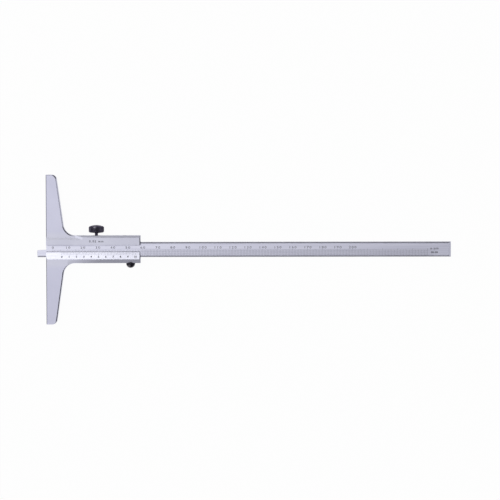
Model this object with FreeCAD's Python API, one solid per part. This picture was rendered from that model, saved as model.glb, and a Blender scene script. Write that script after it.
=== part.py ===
import FreeCAD, Part

import math
import os

from FreeCAD import Vector

# Depth caliper, 0 to 200 mm, with a 100 mm base and a 0.02 mm vernier. Millimetres.
# The origin is on the measuring face of the base, on the centreline of the beam, at the back plane.
# +X runs along the beam away from the work, +Y towards the clamp screw, +Z out of the graduated front.

# Beam, the flat bar that carries the main scale
beam_length = 276.0
beam_width = 10.0
beam_thickness = 3.5
beam_front_chamfer_width = 0.95
beam_front_chamfer_depth = 0.76
beam_back_chamfer = 0.3
beam_end_bevel_length = 1.5
beam_end_bevel_depth = 0.9
nose_length = 6.0
nose_root_width = 4.9
nose_tip_width = 4.6
nose_tip_chamfer = 0.3
rest_reading = 6.0

# Base, the two arms that sit on the work
base_length = 100.0
base_thickness = 6.5
arm_tip_width = 6.55
arm_taper = 8.0
arm_tip_radius = 3.2
arm_root_radius = 8.0
front_edge_chamfer = 0.6
back_edge_chamfer = 0.4
datum_back_chamfer = 0.3
datum_front_bevel_width = 0.4
datum_front_bevel_depth = 0.3

# Slider, which guides the beam and carries the vernier
slider_length = 62.8
back_wall = 1.8
upper_wall = 3.75
lower_wall = 3.98
upper_lip_rise = 0.5
upper_lip_ridge = 6.65
upper_lip_slope = 20.0
upper_lip_run_in = 5.0
upper_bevel_angle = 24.0
upper_bevel_start_width = 0.9
upper_bevel_width = 1.45
vernier_ridge = 6.4
lower_bevel_angle = 27.0
upper_bevel_runout = 20.0
lower_bevel_runout = 23.0
lower_bevel_lead = 5.0
end_edge_chamfer = 0.55
window_above_centre = 3.0
window_below_centre = 1.2
window_edge_chamfer = 0.15
vernier_edge_height = 0.1
vernier_edge_bevel_width = 0.45
vernier_edge_bevel_rise = 0.27

# Clearances
beam_clearance = 0.03
screw_clearance = 0.05
stud_clearance = 0.02
gib_play = 0.15

# Gib, the bronze leaf between the upper wall and the beam
gib_thickness = 0.5
gib_height = 2.9
gib_end_setback = 2.0

# Gib screws, two slotted grub screws with dog points
gib_screw_first = 24.0
gib_screw_last_to_end = 10.5
gib_screw_radius = 1.0
gib_screw_sink = 0.3
gib_screw_slot_width = 0.4
gib_screw_slot_depth = 0.6
gib_point_radius = 0.5
gib_point_length = 0.35

# Clamp screw and the brass pad below it
clamp_place = 33.4
clamp_bore_radius = 1.25
clamp_mouth_chamfer = 0.3
pad_length = 1.2
pad_chamfer = 0.15
screw_tip_chamfer = 0.3
neck_radius = 1.05
neck_length = 1.6
head_radius = 5.1
head_underside_height = 0.7
head_underside_radius = 1.3
head_lower_chamfer = 0.6
head_rim_height = 3.75
head_top_chamfer = 0.5
head_crown_height = 0.9
knurl_count = 46
knurl_depth = 0.22

# Thumb button, a domed stud in the lower edge
button_to_end = 6.65
button_radius = 3.0
button_axis_height = 3.05
button_collar_height = 0.4
button_dome_height = 2.9
button_stud_radius = 1.25
button_stud_length = 2.4
button_stud_chamfer = 0.25

# Places that follow from the sizes above
beam_half = beam_width / 2
beam_back = back_wall + beam_clearance
beam_front = beam_back + beam_thickness
beam_mid = (beam_back + beam_front) / 2
beam_tip = -rest_reading
shoulder = beam_tip + nose_length
beam_far_end = beam_tip + beam_length
channel_roof = beam_front + beam_clearance
channel_low = -beam_half - beam_clearance
gib_low = beam_half + beam_clearance
gib_top = gib_low + gib_thickness
channel_high = gib_top + gib_play
slider_top = channel_high + upper_wall
slider_bottom = channel_low - lower_wall
neck_foot = slider_top
head_foot = neck_foot + neck_length
base_half = base_length / 2
upper_lip_front = base_thickness + upper_lip_rise
vernier_foot = channel_roof + vernier_edge_height
vernier_start = window_below_centre + vernier_edge_bevel_width
vernier_start_z = vernier_foot + vernier_edge_bevel_rise
gib_screw_places = (gib_screw_first, slider_length - gib_screw_last_to_end)
button_place = slider_length - button_to_end
bevel_reach = arm_root_radius / 2
past = 1.0


def prism_along_x(section, start, end):
    """Extrude a closed outline of (y, z) corners from x = start to x = end."""
    corners = [Vector(start, y, z) for y, z in section]
    face = Part.Face(Part.makePolygon(corners + corners[:1]))
    return face.extrude(Vector(end - start, 0, 0))


def prism_along_z(outline, low, high):
    """Extrude a closed outline of (x, y) corners from z = low to z = high."""
    corners = [Vector(x, y, low) for x, y in outline]
    face = Part.Face(Part.makePolygon(corners + corners[:1]))
    return face.extrude(Vector(0, 0, high - low))


def rod_along_y(radius, place, start, end, z=beam_mid):
    """A round rod from y = start to y = end, on the beam's middle plane unless z says otherwise."""
    direction = Vector(0, 1 if end > start else -1, 0)
    return Part.makeCylinder(radius, abs(end - start), Vector(place, start, z), direction)


def turned_along_y(profile, place, z=beam_mid):
    """Turn a closed profile of (radius, y) corners about the axis along Y at x = place."""
    corners = [Vector(place + radius, y, z) for radius, y in profile]
    face = Part.Face(Part.makePolygon(corners + corners[:1]))
    return face.revolve(Vector(place, 0, z), Vector(0, 1, 0), 360)


def crowned(shape, place, crown_y, edge_radius, rise, z=beam_mid):
    """Round the end of a turned head to a ball that rises this far from its edge to y = crown_y."""
    ball_radius = (edge_radius**2 + rise**2) / (2 * rise)
    inward = -math.copysign(ball_radius, crown_y)
    return shape.common(Part.makeSphere(ball_radius, Vector(place, crown_y + inward, z)))


def edges_where(shape, test):
    """The edges of a shape whose two ends, as points, both pass the test."""
    return [edge for edge in shape.Edges if all(test(vertex.Point) for vertex in edge.Vertexes)]


def near(a, b):
    return abs(a - b) < 1e-4


def arm_edge_x(y):
    """Where the sloping outer edge of an arm lies at a distance y from the centreline."""
    return arm_tip_width + (base_half - y) * math.tan(math.radians(arm_taper))


def make_plate():
    """The T-shaped blank: both arms and the slider's outline, with round corners and broken edges."""
    outline = [
        (0, -base_half),
        (arm_edge_x(base_half), -base_half),
        (arm_edge_x(-slider_bottom), slider_bottom),
        (slider_length, slider_bottom),
        (slider_length, slider_top),
        (arm_edge_x(slider_top), slider_top),
        (arm_edge_x(base_half), base_half),
        (0, base_half),
    ]
    plate = prism_along_z(outline, 0, base_thickness)

    def at(x, y):
        return lambda point: near(point.x, x) and near(point.y, y)

    roots = [edge for corner in (outline[2], outline[5]) for edge in edges_where(plate, at(*corner))]
    plate = plate.makeFillet(arm_root_radius, roots)
    tips = [edge for corner in (outline[1], outline[6]) for edge in edges_where(plate, at(*corner))]
    plate = plate.makeFillet(arm_tip_radius, tips)

    back_datum_edge = edges_where(plate, lambda point: near(point.x, 0) and near(point.z, 0))
    plate = plate.makeChamfer(datum_back_chamfer, back_datum_edge)

    def rim(height):
        def on_rim(edge):
            inside = all(near(vertex.Z, height) for vertex in edge.Vertexes)
            along_datum = near(edge.Length, base_length)
            return inside and not along_datum

        return [edge for edge in plate.Edges if on_rim(edge)]

    plate = plate.makeChamfer(front_edge_chamfer, rim(base_thickness))
    plate = plate.makeChamfer(back_edge_chamfer, rim(0))
    slope = datum_front_bevel_depth / datum_front_bevel_width
    datum_bevel = [
        Vector(datum_front_bevel_width, -base_half, base_thickness),
        Vector(-past, -base_half, base_thickness - datum_front_bevel_depth - past * slope),
        Vector(-past, -base_half, base_thickness + past),
        Vector(datum_front_bevel_width, -base_half, base_thickness + past),
    ]
    bevel_face = Part.Face(Part.makePolygon(datum_bevel + datum_bevel[:1]))
    return plate.cut(bevel_face.extrude(Vector(0, base_length, 0)))


def root_end_x(wall):
    """Where the round between an arm and the slider runs out into the slider's straight side."""
    slant = math.radians(arm_taper)
    return arm_edge_x(abs(wall) + arm_root_radius) + arm_root_radius / math.cos(slant)


def make_upper_lip():
    """The raised strip above the window: narrow beside the arm, as wide as the slider past it."""
    slope_width = upper_lip_rise / math.tan(math.radians(upper_lip_slope))
    beside_arm = [
        (0, back_wall),
        (upper_lip_ridge + slope_width, back_wall),
        (upper_lip_ridge + slope_width, base_thickness),
        (upper_lip_ridge, upper_lip_front),
        (0, upper_lip_front),
    ]
    wide_start = root_end_x(slider_top)
    past_arm = [
        Vector(wide_start, 0, base_thickness),
        Vector(wide_start + upper_lip_run_in, 0, upper_lip_front),
        Vector(slider_length, 0, upper_lip_front),
        Vector(slider_length, 0, back_wall),
        Vector(wide_start, 0, back_wall),
    ]
    wide = Part.Face(Part.makePolygon(past_arm + past_arm[:1])).extrude(Vector(0, slider_top, 0))
    return prism_along_x(beside_arm, 0, slider_length).fuse(wide)


def make_side_bevel_cut(wall, start, full, start_edge, full_edge):
    """What grinding takes off one long side of the slider.

    The face runs from its edge at x = start to its edge at x = full, and on straight to the far
    end. Each edge is (inner y, inner z, z at the wall).
    """
    outside = wall + math.copysign(bevel_reach, wall)

    def outline(x, edge):
        inner_y, inner_z, wall_z = edge
        outside_z = inner_z + (wall_z - inner_z) * (outside - inner_y) / (wall - inner_y)
        corners = [
            Vector(x, inner_y, inner_z),
            Vector(x, outside, outside_z),
            Vector(x, outside, upper_lip_front + past),
            Vector(x, inner_y, upper_lip_front + past),
        ]
        return Part.makePolygon(corners + corners[:1])

    full_outline = outline(full, full_edge)
    runout = Part.makeLoft([outline(start, start_edge), full_outline], True, True)
    return runout.fuse(Part.Face(full_outline).extrude(Vector(slider_length + past - full, 0, 0)))


def make_end_chamfer_cut(y, z, tilt, low, high):
    """What breaks the far front edge of one sloping face: the face passes (y, z) and climbs at tilt."""
    profile = [
        Vector(slider_length - end_edge_chamfer, low - past, 0),
        Vector(slider_length + past, low - past, -end_edge_chamfer - past),
        Vector(slider_length + past, low - past, past),
        Vector(slider_length - end_edge_chamfer, low - past, past),
    ]
    wedge = Part.Face(Part.makePolygon(profile + profile[:1])).extrude(Vector(0, high - low + 2 * past, 0))
    wedge.translate(Vector(0, -y, 0))
    wedge.rotate(Vector(0, 0, 0), Vector(1, 0, 0), tilt)
    wedge.translate(Vector(0, y, z))
    reach = Part.makeBox(
        2 * past + end_edge_chamfer,
        high - low,
        upper_lip_front + past,
        Vector(slider_length - end_edge_chamfer - past, low, 0),
    )
    return wedge.common(reach)


def make_channel():
    """The guide for the beam and the gib, and the window that bares the scale beside the vernier."""
    guide = prism_along_x(
        [
            (channel_low, back_wall),
            (channel_high, back_wall),
            (channel_high, channel_roof),
            (channel_low, channel_roof),
        ],
        -past,
        slider_length + past,
    )
    window = prism_along_x(
        [
            (-window_below_centre, beam_mid),
            (window_above_centre, beam_mid),
            (window_above_centre, upper_lip_front - window_edge_chamfer),
            (window_above_centre + window_edge_chamfer, upper_lip_front),
            (window_above_centre + window_edge_chamfer, upper_lip_front + past),
            (-vernier_ridge, upper_lip_front + past),
            (-vernier_ridge, base_thickness),
            (-vernier_start, vernier_start_z),
            (-window_below_centre, vernier_foot),
        ],
        -past,
        slider_length + past,
    )
    return guide.fuse(window)


def make_slider_body():
    """Base and slider in one piece of hardened stainless steel."""
    upper_slope = math.tan(math.radians(upper_bevel_angle))
    upper_bevel_inner = slider_top - upper_bevel_width
    lower_slope = math.tan(math.radians(lower_bevel_angle))
    lower_wall_z = base_thickness + (slider_bottom + vernier_ridge) * lower_slope
    body = make_plate().fuse(make_upper_lip())
    upper_start = root_end_x(slider_top)
    upper_start_inner = slider_top - upper_bevel_start_width
    upper_bevel = make_side_bevel_cut(
        slider_top,
        upper_start,
        upper_start + upper_bevel_runout,
        (upper_start_inner, upper_lip_front, upper_lip_front - upper_bevel_start_width * upper_slope),
        (upper_bevel_inner, upper_lip_front, upper_lip_front - upper_bevel_width * upper_slope),
    )
    lower_start = root_end_x(slider_bottom) - lower_bevel_lead
    lower_bevel = make_side_bevel_cut(
        slider_bottom,
        lower_start,
        lower_start + lower_bevel_runout,
        (-vernier_ridge, base_thickness, base_thickness),
        (-vernier_ridge, base_thickness, lower_wall_z),
    )
    body = body.cut(upper_bevel).cut(lower_bevel).cut(make_channel())

    clamp_bore = rod_along_y(clamp_bore_radius, clamp_place, beam_half, slider_top + past)
    clamp_mouth = Part.makeCone(
        clamp_bore_radius,
        clamp_bore_radius + clamp_mouth_chamfer,
        clamp_mouth_chamfer,
        Vector(clamp_place, slider_top - clamp_mouth_chamfer, beam_mid),
        Vector(0, 1, 0),
    )
    body = body.cut(clamp_bore.fuse(clamp_mouth))
    for place in gib_screw_places:
        body = body.cut(rod_along_y(gib_screw_radius, place, beam_half, slider_top + past))

    stud_hole = rod_along_y(
        button_stud_radius,
        button_place,
        slider_bottom + button_stud_length + stud_clearance,
        slider_bottom - past,
        button_axis_height,
    )
    body = body.cut(stud_hole)

    vernier_drop = base_thickness - vernier_start_z
    vernier_tilt = math.degrees(math.atan(vernier_drop / (vernier_ridge - vernier_start)))
    upper_lip = (window_above_centre, slider_top + past)
    lower_lip = (slider_bottom - past, -window_below_centre)
    far_faces = [
        (upper_bevel_inner, upper_lip_front, 0, *upper_lip),
        (upper_bevel_inner, upper_lip_front, -upper_bevel_angle, *upper_lip),
        (-vernier_ridge, base_thickness, -vernier_tilt, *lower_lip),
        (-vernier_ridge, base_thickness, lower_bevel_angle, *lower_lip),
    ]
    for face in far_faces:
        body = body.cut(make_end_chamfer_cut(*face))
    return body.removeSplitter()


def make_beam():
    """The main-scale bar, with the narrow nose that goes into the work."""
    half_section = [
        (beam_half - beam_back_chamfer, beam_back),
        (beam_half, beam_back + beam_back_chamfer),
        (beam_half, beam_front - beam_front_chamfer_depth),
        (beam_half - beam_front_chamfer_width, beam_front),
    ]
    section = half_section + [(-y, z) for y, z in reversed(half_section)]
    bar = prism_along_x(section, beam_tip, beam_far_end)
    above_nose = [
        (beam_tip, -beam_half + nose_tip_width),
        (shoulder, -beam_half + nose_root_width),
        (shoulder, beam_width),
        (beam_tip - past, beam_width),
        (beam_tip - past, -beam_half + nose_tip_width),
    ]
    bar = bar.cut(prism_along_z(above_nose, beam_back - past, beam_front + past))
    tip_face = [face for face in bar.Faces if near(face.CenterOfMass.x, beam_tip)]
    bar = bar.makeChamfer(nose_tip_chamfer, tip_face[0].Edges)
    end_bevel = [
        Vector(beam_far_end - beam_end_bevel_length, -beam_width, beam_front),
        Vector(beam_far_end, -beam_width, beam_front - beam_end_bevel_depth),
        Vector(beam_far_end + past, -beam_width, beam_front - beam_end_bevel_depth),
        Vector(beam_far_end + past, -beam_width, beam_front + past),
        Vector(beam_far_end - beam_end_bevel_length, -beam_width, beam_front + past),
    ]
    end_cut = Part.Face(Part.makePolygon(end_bevel + end_bevel[:1])).extrude(Vector(0, 2 * beam_width, 0))
    return bar.cut(end_cut)


def make_gib():
    """The bronze leaf, pierced for the dog points that keep it in place."""
    leaf = Part.makeBox(
        slider_length - 2 * gib_end_setback,
        gib_thickness,
        gib_height,
        Vector(gib_end_setback, gib_low, beam_mid - gib_height / 2),
    )
    for place in gib_screw_places:
        hole_radius = gib_point_radius + screw_clearance
        leaf = leaf.cut(rod_along_y(hole_radius, place, gib_low - past, gib_top + past))
    return leaf


def make_gib_screws():
    """Two grub screws, slotted on top, that set how tightly the gib holds the beam."""
    screws = []
    for place in gib_screw_places:
        top = slider_top - gib_screw_sink
        screw = rod_along_y(gib_screw_radius - stud_clearance, place, gib_top, top)
        screw = screw.fuse(rod_along_y(gib_point_radius, place, gib_top - gib_point_length, gib_top))
        slot = Part.makeBox(
            2 * gib_screw_radius + past,
            gib_screw_slot_depth + past,
            gib_screw_slot_width,
            Vector(
                place - gib_screw_radius - past / 2,
                top - gib_screw_slot_depth,
                beam_mid - gib_screw_slot_width / 2,
            ),
        )
        screws.append(screw.cut(slot))
    return Part.makeCompound(screws)


def make_clamp_pad():
    """The brass plug between the clamp screw and the gib."""
    radius = clamp_bore_radius - screw_clearance
    profile = [
        (0, gib_top),
        (radius - pad_chamfer, gib_top),
        (radius, gib_top + pad_chamfer),
        (radius, gib_top + pad_length - pad_chamfer),
        (radius - pad_chamfer, gib_top + pad_length),
        (0, gib_top + pad_length),
    ]
    return turned_along_y(profile, clamp_place)


def make_clamp_screw():
    """The blackened clamp screw: a threaded stem, a waisted neck and a knurled, crowned head."""
    stem_radius = clamp_bore_radius - screw_clearance
    stem_foot = gib_top + pad_length
    rim_foot = head_foot + head_underside_height
    rim_top = rim_foot + head_rim_height
    crown_top = rim_top + head_crown_height
    crown_radius = head_radius - head_top_chamfer
    profile = [
        (0, stem_foot),
        (stem_radius - screw_tip_chamfer, stem_foot),
        (stem_radius, stem_foot + screw_tip_chamfer),
        (stem_radius, neck_foot),
        (neck_radius, neck_foot + stem_radius - neck_radius),
        (neck_radius, head_foot - head_underside_radius + neck_radius),
        (head_underside_radius, head_foot),
        (head_radius - head_lower_chamfer, rim_foot - head_lower_chamfer / 2),
        (head_radius, rim_foot + head_lower_chamfer / 2),
        (head_radius, rim_top - head_top_chamfer),
        (crown_radius, rim_top),
        (crown_radius, crown_top),
        (0, crown_top),
    ]
    screw = turned_along_y(profile, clamp_place)
    screw = crowned(screw, clamp_place, crown_top, crown_radius, head_crown_height)

    pitch_angle = 360 / knurl_count
    grooves = []
    for number in range(knurl_count):
        groove = Part.makeBox(
            knurl_depth * 2,
            head_rim_height + head_crown_height,
            knurl_depth * 2,
            Vector(-knurl_depth, rim_foot, -knurl_depth),
        )
        groove.rotate(Vector(0, 0, 0), Vector(0, 1, 0), 45)
        groove.translate(Vector(head_radius + knurl_depth * (math.sqrt(2) - 1), 0, 0))
        groove.rotate(Vector(0, 0, 0), Vector(0, 1, 0), number * pitch_angle)
        groove.translate(Vector(clamp_place, 0, beam_mid))
        grooves.append(groove)
    return screw.cut(Part.makeCompound(grooves))


def make_thumb_button():
    """The blackened domed stud that the thumb pushes against."""
    crown_y = slider_bottom - button_collar_height - button_dome_height
    axis = button_axis_height
    head = rod_along_y(button_radius, button_place, slider_bottom, crown_y, axis)
    head = crowned(head, button_place, crown_y, button_radius, button_dome_height, axis)
    stud_top = slider_bottom + button_stud_length
    stud_radius = button_stud_radius - stud_clearance
    stud_profile = [
        (0, slider_bottom),
        (stud_radius, slider_bottom),
        (stud_radius, stud_top - button_stud_chamfer),
        (stud_radius - button_stud_chamfer, stud_top),
        (0, stud_top),
    ]
    return head.fuse(turned_along_y(stud_profile, button_place, axis))


nodes = {
    "slider_body": make_slider_body(),
    "beam": make_beam(),
    "gib": make_gib(),
    "gib_screws": make_gib_screws(),
    "clamp_pad": make_clamp_pad(),
    "clamp_screw": make_clamp_screw(),
    "thumb_button": make_thumb_button(),
}

os.makedirs("parts", exist_ok=True)
for name, shape in nodes.items():
    shape.exportStep(f"parts/{name}.step")
    print(name, "solids", len(shape.Solids), "valid", shape.isValid(), "volume", round(shape.Volume, 1))
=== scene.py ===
import math

import bmesh
import bpy
from mathutils import Matrix, Vector


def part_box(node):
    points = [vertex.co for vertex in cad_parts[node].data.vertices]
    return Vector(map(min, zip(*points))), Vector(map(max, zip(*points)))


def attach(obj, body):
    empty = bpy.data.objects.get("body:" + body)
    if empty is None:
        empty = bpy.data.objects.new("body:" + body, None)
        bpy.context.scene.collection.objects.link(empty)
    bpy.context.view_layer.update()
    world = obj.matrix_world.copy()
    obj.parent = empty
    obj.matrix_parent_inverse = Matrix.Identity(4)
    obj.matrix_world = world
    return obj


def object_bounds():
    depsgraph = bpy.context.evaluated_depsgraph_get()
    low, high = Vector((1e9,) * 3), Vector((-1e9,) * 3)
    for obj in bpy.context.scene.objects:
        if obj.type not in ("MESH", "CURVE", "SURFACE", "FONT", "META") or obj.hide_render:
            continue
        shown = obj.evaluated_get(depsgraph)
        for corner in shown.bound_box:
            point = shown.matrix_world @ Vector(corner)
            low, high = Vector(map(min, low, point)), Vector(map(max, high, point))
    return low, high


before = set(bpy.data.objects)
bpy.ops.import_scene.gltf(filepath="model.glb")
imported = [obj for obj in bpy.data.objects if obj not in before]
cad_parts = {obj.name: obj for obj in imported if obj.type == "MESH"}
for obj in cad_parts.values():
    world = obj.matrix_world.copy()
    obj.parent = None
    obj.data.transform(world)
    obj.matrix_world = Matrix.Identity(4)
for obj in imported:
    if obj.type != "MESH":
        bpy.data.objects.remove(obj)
cad_low, cad_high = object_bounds()
MM = 0.001


# The slider body is the base and the slider in one forging of hardened stainless steel, ground
# along each limb and satin finished. Its measuring face is lapped and its broken edges polished.
# The arms are painted a touch darker and bluer, as painted shade for the sheen of their grain,
# and the steep edges at the far end are painted much darker, as painted shade. A trace of lacquer
# greys the steel beside the vernier.
satin_colour = (0.62, 0.62, 0.73, 1.0)
satin_shade = (0.56, 0.56, 0.67, 1.0)
untinted = (1.0, 1.0, 1.0, 1.0)
# Painted shade: the arms are painted a touch darker and bluer, for the sheen of their grain.
arm_painted_shade = (0.95, 0.95, 0.99, 1.0)
arms_begin = (9.8 * MM, 12.5 * MM)
grain_share = 0.35
blotch_share = 0.65
tone_ends = (0.35, 0.65)
noise_ends = (0.3, 0.7)
satin_roughness = (0.32, 0.41)
lapped_roughness = 0.12
edge_roughness = 0.09
edge_lean = (0.3, 0.83)
# Painted shade: the steep edges facing the far end are painted much darker.
far_edge_painted_shade = (0.42, 0.42, 0.43, 1.0)
far_edge_lean = 0.66
far_edge_facing = 0.69
measuring_facing = -0.99
lined_tint = (0.945, 0.945, 0.95, 1.0)
lined_along = (9.0 * MM, 10.5 * MM)
lined_across = (-4.0 * MM, -3.6 * MM)
grain_width = 0.16 * MM
grain_length = 9 * MM
satin_bump = 0.25
satin_relief = 0.01 * MM
blotch_size = 22 * MM


def new_material(name):
    """A material with its own node tree and one Principled shader."""
    material = bpy.data.materials.new(name)
    material.use_nodes = True
    return material, material.node_tree, material.node_tree.nodes["Principled BSDF"]


def add_node(tree, kind, settings=None, **inputs):
    """A shader node with its settings, and its inputs set or linked by name."""
    made = tree.nodes.new(kind)
    for name, value in (settings or {}).items():
        setattr(made, name, value)
    for name, value in inputs.items():
        connect(tree, value, made.inputs[name.replace("_", " ")])
    return made


def connect(tree, value, socket):
    """Link an output to the socket, or write a plain value into it."""
    if isinstance(value, bpy.types.NodeSocket):
        tree.links.new(value, socket)
    else:
        socket.default_value = value


def math_node(tree, operation, first, second=0.0, third=0.0):
    """One sum or comparison of up to three values."""
    made = tree.nodes.new("ShaderNodeMath")
    made.operation = operation
    for socket, value in zip(made.inputs, (first, second, third)):
        connect(tree, value, socket)
    return made.outputs[0]


def remap(tree, value, low, high, new_low, new_high):
    """Move a value from one range to another, held at the ends."""
    made = add_node(
        tree,
        "ShaderNodeMapRange",
        Value=value,
        From_Min=low,
        From_Max=high,
        To_Min=new_low,
        To_Max=new_high,
    )
    return made.outputs[0]


def mix_values(tree, share, first, second):
    """The first value where the share is 0, the second where it is 1."""
    made = tree.nodes.new("ShaderNodeMix")
    made.data_type = "FLOAT"
    connect(tree, share, made.inputs[0])
    connect(tree, first, made.inputs[2])
    connect(tree, second, made.inputs[3])
    return made.outputs[0]


def mix_colours(tree, share, first, second):
    """The first colour where the share is 0, the second where it is 1."""
    made = tree.nodes.new("ShaderNodeMix")
    made.data_type = "RGBA"
    connect(tree, share, made.inputs[0])
    connect(tree, first, made.inputs[6])
    connect(tree, second, made.inputs[7])
    return made.outputs[2]


def tint_colour(tree, colour, tint):
    """The colour multiplied by the tint."""
    made = add_node(tree, "ShaderNodeVectorMath", {"operation": "MULTIPLY"}, Vector=colour)
    tree.links.new(tint, made.inputs[1])
    return made.outputs[0]


def stretched_noise(tree, coordinates, size, detail=3.0):
    """Noise whose features have this size along X, Y and Z, in metres."""
    mapping = add_node(
        tree,
        "ShaderNodeMapping",
        Vector=coordinates,
        Scale=(1 / size[0], 1 / size[1], 1 / size[2]),
    )
    noise = add_node(
        tree, "ShaderNodeTexNoise", Vector=mapping.outputs[0], Scale=1.0, Detail=detail
    )
    return noise.outputs["Fac"]


satin_steel, tree, shader = new_material("satin_steel")
place = add_node(tree, "ShaderNodeTexCoord").outputs["Object"]
axes = add_node(tree, "ShaderNodeSeparateXYZ", Vector=place)
from_centre = math_node(tree, "ABSOLUTE", axes.outputs["Y"])
on_arms = remap(tree, from_centre, *arms_begin, 0.0, 1.0)
grain_along_x = stretched_noise(tree, place, (grain_length, grain_width, grain_width))
grain_along_y = stretched_noise(tree, place, (grain_width, grain_length, grain_width))
grain = mix_values(tree, on_arms, grain_along_x, grain_along_y)
blotches = stretched_noise(tree, place, (blotch_size, blotch_size, blotch_size), 2.0)
normal = add_node(
    tree,
    "ShaderNodeSeparateXYZ",
    Vector=add_node(tree, "ShaderNodeNewGeometry").outputs["True Normal"],
)
facing_out = math_node(tree, "ABSOLUTE", normal.outputs["Z"])
leaning = math_node(tree, "GREATER_THAN", facing_out, edge_lean[0])
sloped = math_node(tree, "LESS_THAN", facing_out, edge_lean[1])
on_edge = math_node(tree, "MULTIPLY", sloped, leaning)
facing_work = math_node(tree, "LESS_THAN", normal.outputs["X"], measuring_facing)
# The painted shade goes on steep edges that face the far end.
facing_far = math_node(tree, "GREATER_THAN", normal.outputs["X"], far_edge_facing)
steep = math_node(tree, "LESS_THAN", facing_out, far_edge_lean)
steep = math_node(tree, "MULTIPLY", leaning, steep)
far_edges_shaded = math_node(tree, "MULTIPLY", facing_far, steep)
past_zero = remap(tree, axes.outputs["X"], *lined_along, 0.0, 1.0)
beside_edge = remap(tree, axes.outputs["Y"], *lined_across, 0.0, 1.0)
on_lower_lip = math_node(tree, "LESS_THAN", axes.outputs["Y"], 0.0)
lined = math_node(tree, "MULTIPLY", past_zero, beside_edge)
lined = math_node(tree, "MULTIPLY", lined, on_lower_lip)
blotchy = math_node(tree, "MULTIPLY", blotches, blotch_share)
shade = math_node(tree, "MULTIPLY_ADD", grain, grain_share, blotchy)
tone = remap(tree, shade, *tone_ends, 0.0, 1.0)
steel = mix_colours(tree, tone, satin_shade, satin_colour)
# Painted shade on the arms, a touch darker and bluer than the rest.
steel_tint = mix_colours(tree, on_arms, untinted, arm_painted_shade)
# Painted shade on the far end's steep edges.
steel_tint = mix_colours(tree, far_edges_shaded, steel_tint, far_edge_painted_shade)
steel_tint = mix_colours(tree, lined, steel_tint, lined_tint)
connect(tree, tint_colour(tree, steel, steel_tint), shader.inputs["Base Color"])
shader.inputs["Metallic"].default_value = 1.0
rough = remap(tree, grain, *noise_ends, *satin_roughness)
rough = mix_values(tree, on_edge, rough, edge_roughness)
rough = mix_values(tree, facing_work, rough, lapped_roughness)
connect(tree, rough, shader.inputs["Roughness"])
bump = add_node(
    tree, "ShaderNodeBump", Strength=satin_bump, Distance=satin_relief, Height=grain
)
connect(tree, bump.outputs[0], shader.inputs["Normal"])


def dress(name, material):
    """Give a frame part its finish in place of the plain one it comes with."""
    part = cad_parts[name]
    part.data.materials.clear()
    part.data.materials.append(material)


dress("slider_body", satin_steel)


# The beam is a flat bar of the same steel, ground along its length, so its grain runs in long
# streaks that show lighter and darker. Beyond the slider, where hands hold it, a trace of lacquer
# and grease greys the steel between the lines.
beam_colour = (0.725, 0.725, 0.85, 1.0)
beam_shade = (0.635, 0.635, 0.765, 1.0)
beam_roughness = (0.28, 0.39)
beam_bump = 0.3
beam_relief = 0.012 * MM
handled_tint = (0.885, 0.885, 0.89, 1.0)
handled_along = (60 * MM, 66 * MM, 256 * MM, 262 * MM)
handled_across = (0.05 * MM, 0.50 * MM)
streak_length = 45 * MM
streak_width = 0.55 * MM
beam_low, beam_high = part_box("beam")

ground_steel, tree, shader = new_material("ground_steel")
place = add_node(tree, "ShaderNodeTexCoord").outputs["Object"]
streaks = stretched_noise(tree, place, (streak_length, streak_width, streak_width), 4.0)
fine_streaks = stretched_noise(tree, place, (streak_length / 3, grain_width, grain_width), 2.0)
tone = remap(tree, streaks, *tone_ends, 0.0, 1.0)
steel = mix_colours(tree, tone, beam_shade, beam_colour)
axes = add_node(tree, "ShaderNodeSeparateXYZ", Vector=place)
first, full, fading, last = handled_along
from_slider = remap(tree, axes.outputs["X"], first, full, 0.0, 1.0)
to_end = remap(tree, axes.outputs["X"], fading, last, 1.0, 0.0)
beside_lines = remap(tree, axes.outputs["Y"], *handled_across, 1.0, 0.0)
handled = math_node(tree, "MULTIPLY", from_slider, to_end)
handled = math_node(tree, "MULTIPLY", handled, beside_lines)
steel_tint = mix_colours(tree, handled, untinted, handled_tint)
connect(tree, tint_colour(tree, steel, steel_tint), shader.inputs["Base Color"])
shader.inputs["Metallic"].default_value = 1.0
rough = remap(tree, fine_streaks, *noise_ends, *beam_roughness)
connect(tree, rough, shader.inputs["Roughness"])
bump = add_node(
    tree, "ShaderNodeBump", Strength=beam_bump, Distance=beam_relief, Height=fine_streaks
)
connect(tree, bump.outputs[0], shader.inputs["Normal"])
dress("beam", ground_steel)


# The graduations and figures are cut into the steel and filled with black lacquer. The main scale
# starts 10.4 mm behind the tip of the beam and runs along its lower edge, a line every millimetre.
lacquer_colour = (0.018, 0.018, 0.026, 1.0)
thin_lacquer = (0.075, 0.077, 0.095, 1.0)
thin_ends = (0.45, 0.75)
lacquer_roughness = (0.45, 0.65)
lacquer_patch = 0.4 * MM
line_width = 0.10 * MM
line_stands = 0.008 * MM
line_sunk = 0.05 * MM
scale_zero = beam_low.x + 10.4 * MM
scale_millimetres = 250
scale_foot = -4.25 * MM
scale_tops = {1: -0.27 * MM, 5: 0.1 * MM, 10: 0.45 * MM}
figure_height = 1.5 * MM
figure_middle = 1.4 * MM
figure_spacing = 1.3
figure_swell = 0.0
figure_widen = 1.35
last_figure = 200

black_lacquer, tree, shader = new_material("black_lacquer")
place = add_node(tree, "ShaderNodeTexCoord").outputs["Object"]
wear = stretched_noise(tree, place, (lacquer_patch, lacquer_patch, lacquer_patch), 3.0)
worn = remap(tree, wear, *thin_ends, 0.0, 1.0)
connect(tree, mix_colours(tree, worn, lacquer_colour, thin_lacquer), shader.inputs["Base Color"])
connect(tree, remap(tree, wear, *noise_ends, *lacquer_roughness), shader.inputs["Roughness"])


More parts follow.
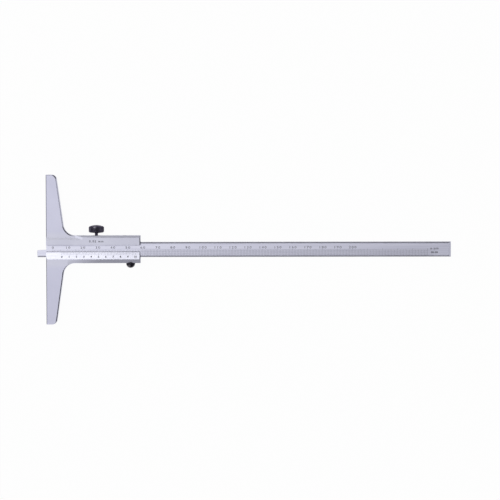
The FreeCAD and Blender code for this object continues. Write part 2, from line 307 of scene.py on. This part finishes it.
def add_line(lines, face, x, foot, top, width):
    """One graduation: a bar across a face, from foot to top, standing barely proud of it."""
    height = line_stands + line_sunk
    middle = Matrix.Translation((x, (foot + top) / 2, line_stands - height / 2))
    size = Matrix.Diagonal((width, top - foot, height, 1))
    bmesh.ops.create_cube(lines, size=1, matrix=face @ middle @ size)


def add_figures(figures, face, text, x, y, height, spacing, swell=0.02, widen=1.0):
    """Engraved figures as a mesh, centred on a place of the face.

    Swell thickens the strokes, and widen stretches the figures along the scale.
    """
    curve = bpy.data.curves.new("figures", "FONT")
    curve.body = text
    curve.align_x = "CENTER"
    curve.align_y = "CENTER"
    curve.space_character = spacing
    curve.offset = swell
    curve.resolution_u = 3
    curve.extrude = (line_stands + line_sunk) / 2
    holder = bpy.data.objects.new("figures", curve)
    bpy.context.scene.collection.objects.link(holder)
    bpy.context.view_layer.update()
    depsgraph = bpy.context.evaluated_depsgraph_get()
    mesh = bpy.data.meshes.new_from_object(holder.evaluated_get(depsgraph))
    bpy.data.objects.remove(holder)
    lowest = min(vertex.co.y for vertex in mesh.vertices)
    highest = max(vertex.co.y for vertex in mesh.vertices)
    grow = height / (highest - lowest)
    centred = Matrix.Translation((0, -(lowest + highest) / 2, 0))
    flat = Matrix.Diagonal((grow * widen, grow, 1, 1)) @ centred
    stand = Matrix.Translation((x, y, (line_stands - line_sunk) / 2))
    mesh.transform(face @ stand @ flat)
    figures.from_mesh(mesh)
    bpy.data.meshes.remove(mesh)


def finish_marks(name, marks, body):
    """Turn finished lines or figures into a lacquer-filled piece that rides with its steel."""
    bmesh.ops.remove_doubles(marks, verts=marks.verts, dist=1e-8)
    bmesh.ops.recalc_face_normals(marks, faces=marks.faces)
    mesh = bpy.data.meshes.new(name)
    marks.to_mesh(mesh)
    marks.free()
    mesh.materials.append(black_lacquer)
    piece = bpy.data.objects.new(name, mesh)
    bpy.context.scene.collection.objects.link(piece)
    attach(piece, body)


beam_face = Matrix.Translation((0, 0, beam_high.z))
scale_lines = bmesh.new()
for millimetre in range(scale_millimetres + 1):
    step = max(size for size in scale_tops if millimetre % size == 0)
    x = scale_zero + millimetre * MM
    add_line(scale_lines, beam_face, x, scale_foot, scale_tops[step], line_width)
finish_marks("beam_scale_lines", scale_lines, "beam")

scale_figures = bmesh.new()
for millimetre in range(0, last_figure + 1, 10):
    x = scale_zero + millimetre * MM
    add_figures(
        scale_figures,
        beam_face,
        str(millimetre),
        x,
        figure_middle,
        figure_height,
        figure_spacing,
        figure_swell,
        figure_widen,
    )
finish_marks("beam_scale_figures", scale_figures, "beam")


# The vernier is cut into the slope beside the window: 50 lines in 49 mm, numbered 0 to 10, so that
# each line reads 0.02 mm. Its slope leads down to within a hair of the beam.
vernier_zero = 10.4 * MM
vernier_line_width = 0.075 * MM
vernier_lines = 50
vernier_step = 0.98 * MM
vernier_tops = {1: 1.88 * MM, 5: 2.12 * MM}
vernier_figure_height = 1.35 * MM
vernier_figure_middle = 3.10 * MM
vernier_figure_spacing = 1.1
vernier_figure_swell = 0.035
vernier_figure_widen = 1.15
slope_edge = Vector((0, -1.65 * MM, 5.73 * MM))
slope_ridge = Vector((0, -6.40 * MM, 6.5 * MM))

slope_angle = math.atan2(slope_ridge.z - slope_edge.z, slope_ridge.y - slope_edge.y) - math.pi
slope_face = Matrix.Translation(slope_edge) @ Matrix.Rotation(slope_angle, 4, "X")
slope_lines = bmesh.new()
for number in range(vernier_lines + 1):
    step = max(size for size in vernier_tops if number % size == 0)
    x = vernier_zero + number * vernier_step
    add_line(slope_lines, slope_face, x, -vernier_tops[step], 0, vernier_line_width)
finish_marks("vernier_lines", slope_lines, "slider")

slope_figures = bmesh.new()
for number in range(0, vernier_lines + 1, 5):
    x = vernier_zero + number * vernier_step
    add_figures(
        slope_figures,
        slope_face,
        str(number // 5),
        x,
        -vernier_figure_middle,
        vernier_figure_height,
        vernier_figure_spacing,
        vernier_figure_swell,
        vernier_figure_widen,
    )
finish_marks("vernier_figures", slope_figures, "slider")


# Plain reading marks: the vernier's step on the lip above the window, and the measuring range
# at the far end of the beam.
lip_mark_place = Vector((33.5 * MM, 5.65 * MM, 7.0 * MM))
lip_mark_height = 1.5 * MM
lip_mark_spacing = 1.4
range_mark_x = 259.0 * MM
range_mark_rows = {"0-200": 0.40 * MM, "mm": -2.15 * MM}
range_mark_height = 1.2 * MM
range_mark_spacing = 1.3
range_mark_widen = 1.15

lip_mark = bmesh.new()
lip_face = Matrix.Translation((0, 0, lip_mark_place.z))
x, y = lip_mark_place.xy
add_figures(lip_mark, lip_face, "0.02 mm", x, y, lip_mark_height, lip_mark_spacing)
finish_marks("reading_mark", lip_mark, "slider")

range_mark = bmesh.new()
for text, y in range_mark_rows.items():
    add_figures(
        range_mark,
        beam_face,
        text,
        range_mark_x,
        y,
        range_mark_height,
        range_mark_spacing,
        widen=range_mark_widen,
    )
finish_marks("range_mark", range_mark, "beam")


# The clamp screw is turned steel with a knurled head, chemically blackened, and the gib screws
# come from the same bath. The black has worn off a little along the head's rim, where fingers
# turn it, and one spot on the rim is painted pale grey as a painted highlight.
black_colour = (0.052, 0.045, 0.072, 1.0)
black_grazing = (0.66, 0.64, 0.70, 1.0)
black_worn = (0.12, 0.118, 0.14, 1.0)
black_painted_highlight = (0.36, 0.35, 0.40, 1.0)
black_roughness = (0.25, 0.38)
black_bump = 0.2
black_relief = 0.01 * MM
mottle_size = 0.9 * MM
# Painted highlight: a pale spot on the head's rim, where the lamp's glint falls.
highlight_spot = Vector((-0.85 * MM, 15.05 * MM, 5.0 * MM))
highlight_spot_size = 1.4 * MM
highlight_spot_core = 0.3 * MM
highlight_spot_squash = 1.6
rim_wear = (0.16 * MM, 0.02 * MM)
rim_patch_ends = (0.4, 0.65)
rim_wear_most = 0.6
screw_low, screw_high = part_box("clamp_screw")
head_radius = (screw_high.x - screw_low.x) / 2


def length_of(tree, vector):
    """How far a place lies from the origin."""
    made = add_node(tree, "ShaderNodeVectorMath", {"operation": "LENGTH"}, Vector=vector)
    return made.outputs["Value"]


black_screw, tree, shader = new_material("black_screw")
place = add_node(tree, "ShaderNodeTexCoord").outputs["Object"]
axis = Vector(((screw_low.x + screw_high.x) / 2, 0, (screw_low.z + screw_high.z) / 2))
centred = add_node(
    tree, "ShaderNodeMapping", {"vector_type": "POINT"}, Vector=place, Location=-axis
)
flat_place = add_node(tree, "ShaderNodeMapping", Vector=centred.outputs[0], Scale=(1, 0, 1))
radius = length_of(tree, flat_place.outputs[0])
mottle = stretched_noise(tree, place, (mottle_size, mottle_size, mottle_size), 4.0)
at_rim = remap(tree, radius, head_radius - rim_wear[0], head_radius - rim_wear[1], 0.0, 1.0)
patches = remap(tree, mottle, *rim_patch_ends, 0.0, rim_wear_most)
wear_and_highlight = math_node(tree, "MULTIPLY", at_rim, patches)
# The painted highlight's spot is stretched along the screw's axis.
squash = (1, highlight_spot_squash, 1)
highlight_place = add_node(
    tree,
    "ShaderNodeMapping",
    Vector=centred.outputs[0],
    Location=[-along * factor for along, factor in zip(highlight_spot, squash)],
    Scale=squash,
)
from_highlight = length_of(tree, highlight_place.outputs[0])
painted_highlight = remap(tree, from_highlight, highlight_spot_core, highlight_spot_size, 1.0, 0.0)
blackened = mix_colours(tree, wear_and_highlight, black_colour, black_worn)
# The painted highlight turns the black pale grey there.
connect(tree, mix_colours(tree, painted_highlight, blackened, black_painted_highlight), shader.inputs["Base Color"])
shader.inputs["Metallic"].default_value = 1.0
shader.inputs["Specular Tint"].default_value = black_grazing
connect(tree, remap(tree, mottle, *noise_ends, *black_roughness), shader.inputs["Roughness"])
bump = add_node(
    tree, "ShaderNodeBump", Strength=black_bump, Distance=black_relief, Height=mottle
)
connect(tree, bump.outputs[0], shader.inputs["Normal"])
dress("clamp_screw", black_screw)
dress("gib_screws", black_screw)


# The thumb button is a domed stud, blackened in the same bath and pressed into the lower edge.
# A spot on its dome, on the side of the base, is painted greyer as a painted highlight.
button_colour = (0.016, 0.014, 0.022, 1.0)
button_painted_highlight = (0.16, 0.155, 0.17, 1.0)
button_metal = 0.8
button_roughness = (0.26, 0.38)
button_mottle = 1.2 * MM
button_low, button_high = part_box("thumb_button")
# Painted highlight: the grey spot stands where the lamp's glint falls on the dome.
button_highlight_spot = Vector(
    (
        (button_low.x + button_high.x) / 2 - 0.85 * MM,
        button_low.y + 1.35 * MM,
        (button_low.z + button_high.z) / 2 + 2.45 * MM,
    )
)
button_highlight_core = 0.3 * MM
button_highlight_size = 1.3 * MM

black_button, tree, shader = new_material("black_button")
place = add_node(tree, "ShaderNodeTexCoord").outputs["Object"]
mottle = stretched_noise(tree, place, (button_mottle, button_mottle, button_mottle), 4.0)
from_highlight = add_node(tree, "ShaderNodeVectorMath", {"operation": "DISTANCE"}, Vector=place)
from_highlight.inputs[1].default_value = button_highlight_spot
wear_and_highlight = remap(tree, from_highlight.outputs["Value"], button_highlight_core, button_highlight_size, 1.0, 0.0)
# Painted highlight on the dome.
connect(tree, mix_colours(tree, wear_and_highlight, button_colour, button_painted_highlight), shader.inputs["Base Color"])
shader.inputs["Metallic"].default_value = button_metal
connect(tree, remap(tree, mottle, *noise_ends, *button_roughness), shader.inputs["Roughness"])
dress("thumb_button", black_button)


# The gib is a strip of rolled phosphor bronze between the upper wall and the beam, with the fine
# lengthwise lines of the rolling mill.
bronze_colour = (0.62, 0.36, 0.17, 1.0)
bronze_shade = (0.50, 0.27, 0.12, 1.0)
bronze_roughness = (0.26, 0.38)
rolling_length = 12 * MM
rolling_width = 0.1 * MM

bronze, tree, shader = new_material("phosphor_bronze")
place = add_node(tree, "ShaderNodeTexCoord").outputs["Object"]
rolling = stretched_noise(tree, place, (rolling_length, rolling_width, rolling_width), 3.0)
connect(tree, mix_colours(tree, rolling, bronze_shade, bronze_colour), shader.inputs["Base Color"])
shader.inputs["Metallic"].default_value = 1.0
connect(tree, remap(tree, rolling, *noise_ends, *bronze_roughness), shader.inputs["Roughness"])
dress("gib", bronze)


# The clamp pad is a turned brass plug under the clamp screw, which presses on the gib. Turning
# leaves fine rings on its ends.
brass_colour = (0.74, 0.54, 0.22, 1.0)
brass_shade = (0.62, 0.43, 0.16, 1.0)
brass_roughness = (0.25, 0.36)
ring_spacing = 0.6 * MM
ring_waver = 0.6
pad_low, pad_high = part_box("clamp_pad")

turned_brass, tree, shader = new_material("turned_brass")
place = add_node(tree, "ShaderNodeTexCoord").outputs["Object"]
pad_axis = Vector(((pad_low.x + pad_high.x) / 2, 0, (pad_low.z + pad_high.z) / 2))
centred = add_node(
    tree, "ShaderNodeMapping", {"vector_type": "POINT"}, Vector=place, Location=-pad_axis
)
rings = add_node(
    tree,
    "ShaderNodeTexWave",
    {"wave_type": "RINGS", "rings_direction": "Y"},
    Vector=centred.outputs[0],
    Scale=1 / ring_spacing,
    Distortion=ring_waver,
)
turned = rings.outputs["Fac"]
connect(tree, mix_colours(tree, turned, brass_shade, brass_colour), shader.inputs["Base Color"])
shader.inputs["Metallic"].default_value = 1.0
connect(tree, remap(tree, turned, 0.0, 1.0, *brass_roughness), shader.inputs["Roughness"])
dress("clamp_pad", turned_brass)


# The floor is a plain white sheet, just under the lowest point of the knurled head. It shows as
# white to the camera and to the metal, and keeps a trace of shadow.
floor_half = 20.0
floor_drop = 0.05 * MM
floor_colour = (0.86, 0.86, 0.87, 1.0)
floor_roughness = 0.9
floor_white_share = 0.97

sweep = bmesh.new()
level = Matrix.Translation((0, 0, cad_low.z - floor_drop))
bmesh.ops.create_grid(sweep, x_segments=1, y_segments=1, size=floor_half, matrix=level)
floor_mesh = bpy.data.meshes.new("floor")
sweep.to_mesh(floor_mesh)
sweep.free()
floor = bpy.data.objects.new("floor", floor_mesh)
bpy.context.scene.collection.objects.link(floor)

white_floor, tree, shader = new_material("white_floor")
shader.inputs["Base Color"].default_value = floor_colour
shader.inputs["Roughness"].default_value = floor_roughness
seen = add_node(tree, "ShaderNodeLightPath")
by_camera, by_metal = seen.outputs["Is Camera Ray"], seen.outputs["Is Glossy Ray"]
seen_directly = math_node(tree, "MAXIMUM", by_camera, by_metal)
seen_directly = math_node(tree, "MAXIMUM", seen_directly, seen.outputs["Is Transmission Ray"])
white = add_node(tree, "ShaderNodeEmission", Color=(1, 1, 1, 1), Strength=1.0)
share = math_node(tree, "MULTIPLY", seen_directly, floor_white_share)
blend = add_node(tree, "ShaderNodeMixShader", Fac=share)
tree.links.new(shader.outputs[0], blend.inputs[1])
tree.links.new(white.outputs[0], blend.inputs[2])
tree.links.new(blend.outputs[0], tree.nodes["Material Output"].inputs["Surface"])
floor_mesh.materials.append(white_floor)


# The studio: a pale sky, brightest left of the zenith, over screens that are dark beside the beam.
# A low ring under them gives the broken edges their light and dark, and one long soft lamp
# stands on the clamp screw's side. Keys are places across or around the sky, from 0 to 1.
sky_by_side = {
    0.0: 1.20,
    0.30: 1.18,
    0.44: 1.24,
    0.50: 0.97,
    0.58: 0.32,
    0.72: 0.27,
    0.85: 0.75,
    1.0: 0.85,
}
sky_by_height = {0.0: 0.55, 0.30: 0.68, 0.62: 0.92, 0.85: 1.0, 1.0: 1.0}
sky_by_depth = {0.0: 0.50, 0.22: 0.70, 0.5: 1.0, 0.70: 0.98, 0.84: 0.60, 1.0: 0.45}
ring_by_angle = {
    0.0: 0.25,
    0.10: 0.30,
    0.20: 0.45,
    0.25: 0.10,
    0.33: 0.45,
    0.415: 0.40,
    0.435: 0.03,
    0.452: 0.03,
    0.463: 0.10,
    0.50: 0.14,
    0.525: 0.75,
    0.545: 0.03,
    0.68: 0.02,
    0.75: 0.85,
    0.90: 0.32,
    1.0: 0.25,
}
low_ring_by_angle = {**ring_by_angle, 0.525: 0.06}
low_ring_top = 0.055
low_ring_blend = 0.075
ring_top = 0.13
ring_blend = 0.20
screen_by_angle = {
    0.0: 0.20,
    0.20: 0.55,
    0.235: 0.45,
    0.25: 0.04,
    0.29: 0.03,
    0.34: 0.50,
    0.42: 0.50,
    0.5: 0.85,
    0.56: 0.50,
    0.60: 0.03,
    0.80: 0.03,
    1.0: 0.20,
}
screen_top = 0.34
screen_blend = 0.46
sky_red, sky_green = 0.985, 0.99
lamp_place = Vector((-0.26, 0.36, 1.05))
lamp_target = Vector((-0.10, 0.0, 0.0))
lamp_size = (0.62, 0.22)
lamp_radiance = 3.5
lamp_colour = (1.0, 1.01, 0.90)

world = bpy.data.worlds.new("studio")
bpy.context.scene.world = world
world.use_nodes = True
tree = world.node_tree


def ramp_of(tree, value, stops):
    """Grey levels along a value from 0 to 1, as a colour output."""
    ramp = add_node(tree, "ShaderNodeValToRGB", Fac=value)
    elements = ramp.color_ramp.elements
    for position, level in stops.items():
        if 0 < position < 1:
            element = elements.new(position)
        else:
            element = elements[0] if position == 0 else elements[-1]
        element.color = (level, level, level, 1.0)
    return ramp.outputs[0]


direction = add_node(tree, "ShaderNodeTexCoord").outputs["Generated"]
parts = add_node(tree, "ShaderNodeSeparateXYZ", Vector=direction)
side = ramp_of(tree, remap(tree, parts.outputs["X"], -1, 1, 0, 1), sky_by_side)
height = ramp_of(tree, parts.outputs["Z"], sky_by_height)
depth = ramp_of(tree, remap(tree, parts.outputs["Y"], -1, 1, 0, 1), sky_by_depth)
sky = math_node(tree, "MULTIPLY", math_node(tree, "MULTIPLY", side, height), depth)
turn_angle = math_node(tree, "ARCTAN2", parts.outputs["Y"], parts.outputs["X"])
around = remap(tree, turn_angle, -math.pi, math.pi, 0, 1)
low_ring = ramp_of(tree, around, low_ring_by_angle)
high_ring = ramp_of(tree, around, ring_by_angle)
above_low_ring = remap(tree, parts.outputs["Z"], low_ring_top, low_ring_blend, 0, 1)
ring = mix_values(tree, above_low_ring, low_ring, high_ring)
screens = ramp_of(tree, around, screen_by_angle)
above_ring = remap(tree, parts.outputs["Z"], ring_top, ring_blend, 0, 1)
above_screens = remap(tree, parts.outputs["Z"], screen_top, screen_blend, 0, 1)
low_light = mix_values(tree, above_ring, ring, screens)
light = mix_values(tree, above_screens, low_light, sky)
sky_colour = add_node(
    tree,
    "ShaderNodeCombineXYZ",
    X=math_node(tree, "MULTIPLY", light, sky_red),
    Y=math_node(tree, "MULTIPLY", light, sky_green),
    Z=light,
)
tree.links.new(sky_colour.outputs[0], tree.nodes["Background"].inputs["Color"])

lamp_data = bpy.data.lights.new("soft_lamp", "AREA")
lamp_data.shape = "RECTANGLE"
lamp_data.size, lamp_data.size_y = lamp_size
lamp_data.energy = lamp_radiance * math.pi * lamp_size[0] * lamp_size[1]
lamp_data.color = lamp_colour
lamp = bpy.data.objects.new("soft_lamp", lamp_data)
lamp.location = lamp_place
lamp.rotation_euler = (lamp_target - lamp_place).to_track_quat("-Z", "Y").to_euler()
bpy.context.scene.collection.objects.link(lamp)


# The camera looks down on the graduated front, as in the photograph, from a little towards the
# clamp screw.
camera_lens = 160.0
frame_width = 333.6 * MM
picture_centre = Vector((135.93 * MM, -0.39 * MM, beam_high.z))
camera_pitch = math.radians(3.0)
camera_roll = math.radians(-0.09)

camera_data = bpy.data.cameras.new("camera")
camera_data.lens = camera_lens
camera = bpy.data.objects.new("camera", camera_data)
bpy.context.scene.collection.objects.link(camera)
bpy.context.scene.camera = camera
distance = camera_lens * frame_width / camera_data.sensor_width
turn = Matrix.Rotation(-camera_pitch, 4, "X") @ Matrix.Rotation(camera_roll, 4, "Z")
back_off = Matrix.Translation((0, 0, distance))
camera.matrix_world = Matrix.Translation(picture_centre) @ turn @ back_off

bpy.context.scene.view_settings.view_transform = "Standard"
